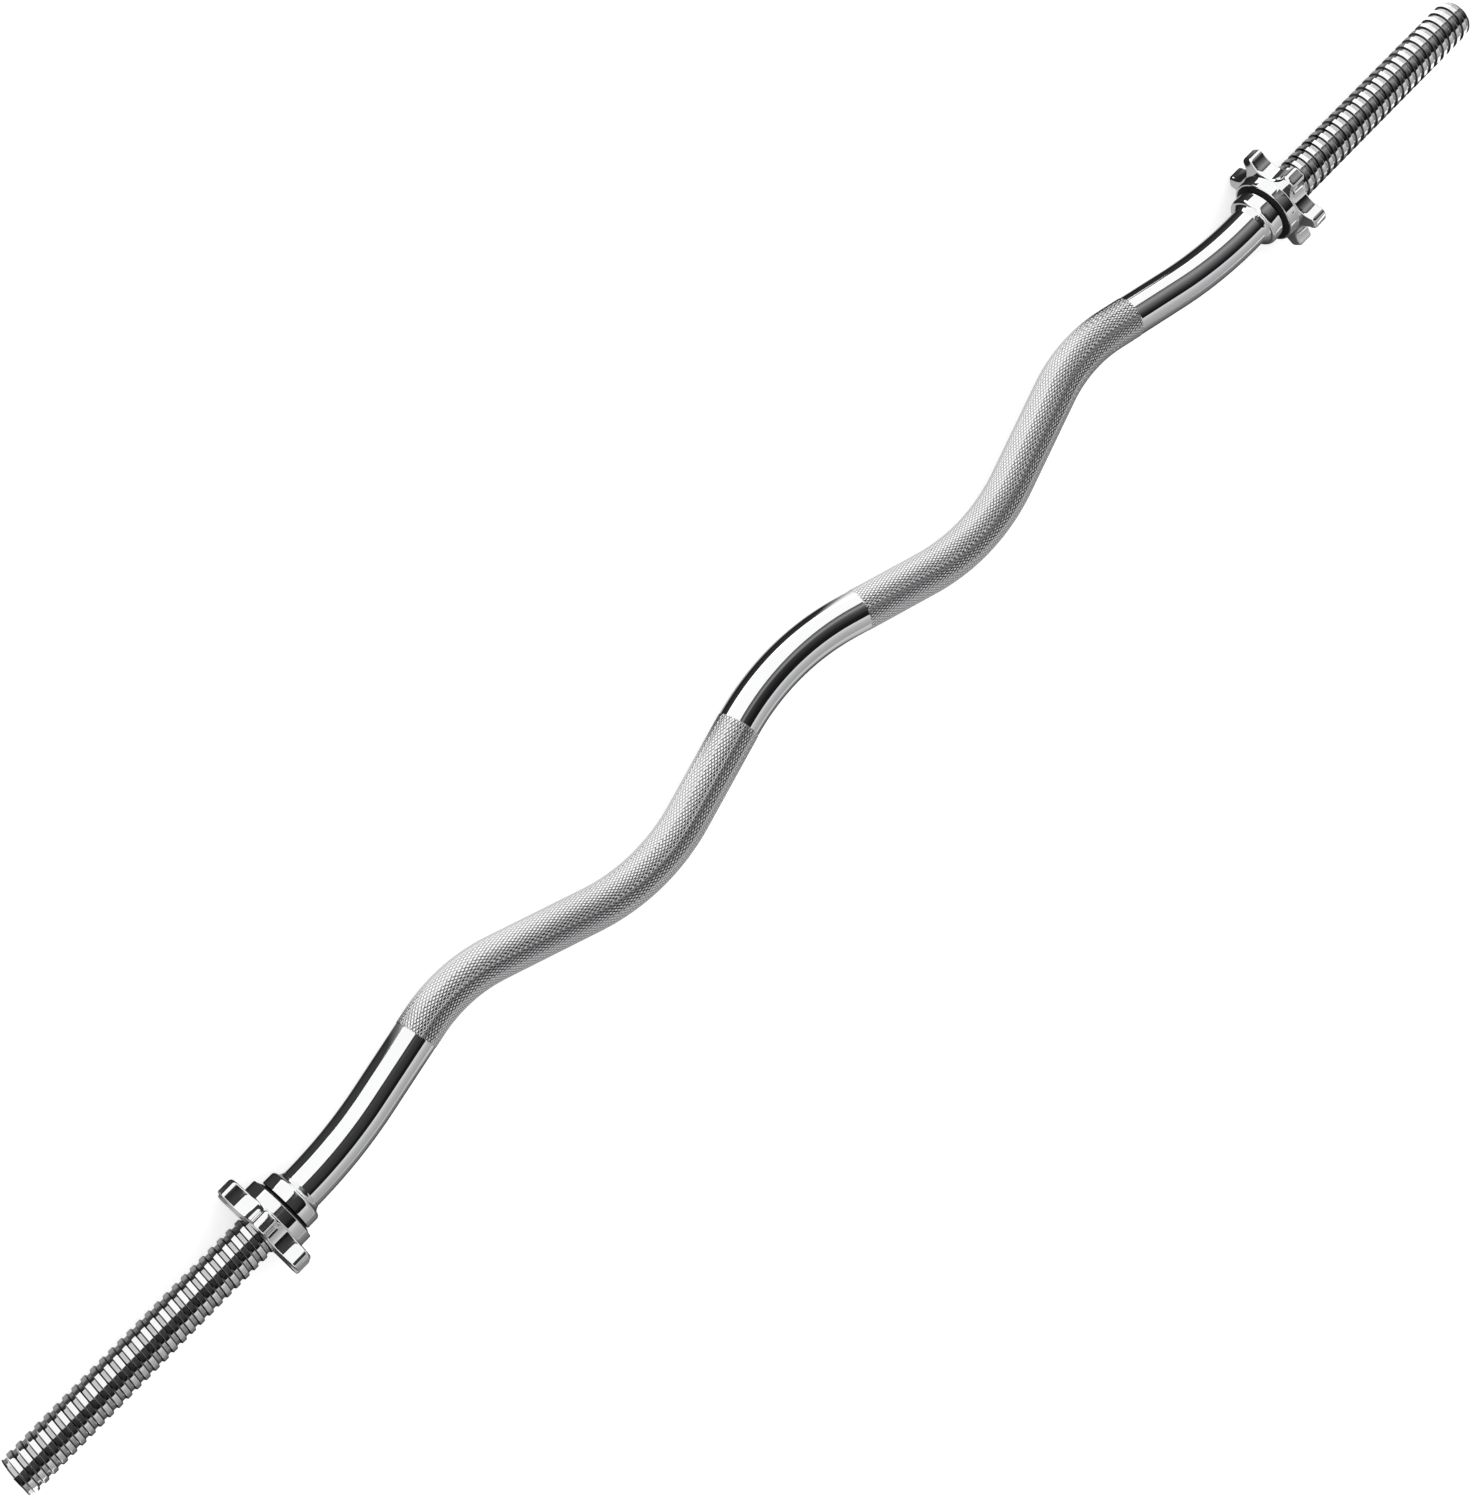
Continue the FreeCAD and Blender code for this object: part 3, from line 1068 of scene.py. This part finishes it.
def add_card(name, rows, levels, material):
    """A card that shows only in the metal's reflections, with a brightness at each point."""
    mesh = open_sheet(name, rows)
    level = np.array(levels).reshape(-1, 1)
    colours = np.concatenate([level, level, level * 1.01, np.ones_like(level)], axis=1)
    painted = mesh.attributes.new("glow", "FLOAT_COLOR", "POINT")
    painted.data.foreach_set("color", colours.astype(np.float32).ravel())
    mesh.materials.append(material)
    card = add_to_scene(name, mesh)
    card.visible_camera = False
    card.visible_diffuse = False
    card.visible_shadow = False
    card.visible_transmission = False


def overhead_card(material):
    """A card arched over the bar, which gives the plain stretches their bands.

    Each profile holds (lean, brightness) pairs. A lean is an angle in degrees from
    straight up toward +Y, as the bar sees the card."""
    arch_radius = 1.0
    black_edge = [(-92, 0.33), (-60, 0.44), (-46, 0.6), (-40, 0.68), (-39, 0.006), (-29, 0.01)]
    left = [(-20, 0.03), (0, 0.045), (8, 0.047), (13, 0.045), (18, 0.04), (22.5, 0.03)]
    middle = [(-18, 0.012), (0, 0.03), (7, 0.05), (13, 0.28), (21, 0.17), (30, 0.06)]
    right = [(-18, 0.035), (0, 0.13), (10, 0.22), (18, 0.29), (27, 0.2), (37, 0.03)]
    profiles = [(-2.2, left), (-0.35, left), (0.3, middle), (0.9, right), (2.2, right)]
    rows = []
    levels = []
    for x, profile in profiles:
        leans = [(radians(lean), level) for lean, level in black_edge + profile]
        across = [(arch_radius * sin(a), axis_height + arch_radius * cos(a)) for a, level in leans]
        rows.append([(x, y, z) for y, z in across])
        levels.append([level for a, level in leans])
    add_card("overhead_card", rows, levels, material)


def floor_card(material):
    """A card just above the floor, which follows the bar and lies under and beside it.

    Its pairs are (millimetres toward +Y from the bar's axis, brightness)."""
    height = 1 * mm
    blend = 20 * mm
    near = [(-1000, 0.31), (-300, 0.28), (-80, 0.17), (-33, 0.05), (-12, 0.03), (-9, 0.25), (8, 0.45)]
    grip_near = [(-1000, 0.6), (-300, 0.6), (-80, 0.5), (-33, 0.25), (-12, 0.1), (-9, 0.4), (8, 0.6)]
    left = near + [(19, 0.25), (21, 0.012), (45, 0.04), (85, 0.045), (900, 0.03)]
    right = near + [(23, 0.4), (25, 0.015), (45, 0.02), (70, 0.03), (130, 0.03)]
    grip = grip_near + [(15, 0.6), (20, 0.65), (40, 0.8), (60, 0.95), (130, 1.0)]
    thread = near + [(15, 0.3), (25, 0.3), (45, 0.3), (90, 0.05), (600, 0.04)]
    at = bar_places()
    stations = [
        (0, thread),
        (at["left_thread_end"] - 40 * mm, thread),
        (at["left_thread_end"] - 25 * mm, left),
        (at["left_grip_start"], left),
        (at["left_grip_start"] + blend, grip),
        (at["left_grip_end"] - blend, grip),
        (at["left_grip_end"], right),
        (at["right_grip_start"], right),
        (at["right_grip_start"] + blend, grip),
        (at["right_grip_end"] - blend, grip),
        (at["right_grip_end"], right),
        (at["right_thread_start"] + 35 * mm, right),
        (at["right_thread_start"] + 55 * mm, thread),
        (at["right_end"], thread),
    ]
    distances = spaced(0, at["right_end"], card_step)
    x, y, heading = route_frames(distances)
    places = [distance for distance, pairs in stations]
    rows = []
    levels = []
    for column in zip(*[pairs for distance, pairs in stations]):
        aside = np.interp(distances, places, [offset * mm for offset, level in column])
        across = np.column_stack([x - np.sin(heading) * aside, y + np.cos(heading) * aside])
        rows.append(np.column_stack([across, np.full(len(across), height)]))
        levels.append(np.interp(distances, places, [level for offset, level in column]))
    add_card("floor_card", rows, levels, material)


def build_sky():
    """A white background, which lights the object a little less brightly than it shows."""
    world = bpy.data.worlds.new("studio")
    bpy.context.scene.world = world
    world.use_nodes = True
    tree = world.node_tree
    tree.nodes.clear()
    as_light = 0.8
    as_background = 1.0
    strength = remap(tree, background_rays(tree), (0.0, 1.0), (as_light, as_background))
    sky = add_node(tree, "ShaderNodeBackground", {}, {"Color": (1, 1, 1, 1), "Strength": strength})
    add_node(tree, "ShaderNodeOutputWorld", {}, {"Surface": sky.outputs[0]})


def build_softbox():
    """One soft lamp above the bar, tilted toward it."""
    lamp = bpy.data.lights.new("softbox", "AREA")
    lamp.shape = "RECTANGLE"
    lamp.size = 2.4
    lamp.size_y = 1.6
    lamp.energy = 14.0
    softbox = add_to_scene("softbox", lamp)
    softbox.location = (0.1, 0.5, 2.0)
    softbox.rotation_euler = (-softbox.location.y / softbox.location.z, 0, 0)
    softbox.visible_glossy = False
    softbox.visible_camera = False


def build_camera():
    """The camera stands almost above the bar, at the photograph's angle and distance."""
    place = Vector((-514.0, 456.6, 1645.7)) * mm
    target = Vector((-53.5, -1.0, 32.0)) * mm
    picture_up = radians(46.81)
    camera_data = bpy.data.cameras.new("camera")
    camera_data.lens = 74.8
    camera_data.sensor_width = 36.0
    look = (target - place).normalized()
    up = Vector((cos(picture_up), sin(picture_up), 0))
    up = (up - look * up.dot(look)).normalized()
    right = look.cross(up)
    turned = Matrix((right, up, -look)).transposed().to_4x4()
    camera = add_to_scene("camera", camera_data)
    camera.matrix_world = Matrix.Translation(place) @ turned
    bpy.context.scene.camera = camera


build_camera()
build_bar()
build_end_pieces()
build_floor()
card_surface = card_material()
overhead_card(card_surface)
floor_card(card_surface)
build_sky()
build_softbox()
bpy.context.scene.view_settings.view_transform = "Standard"
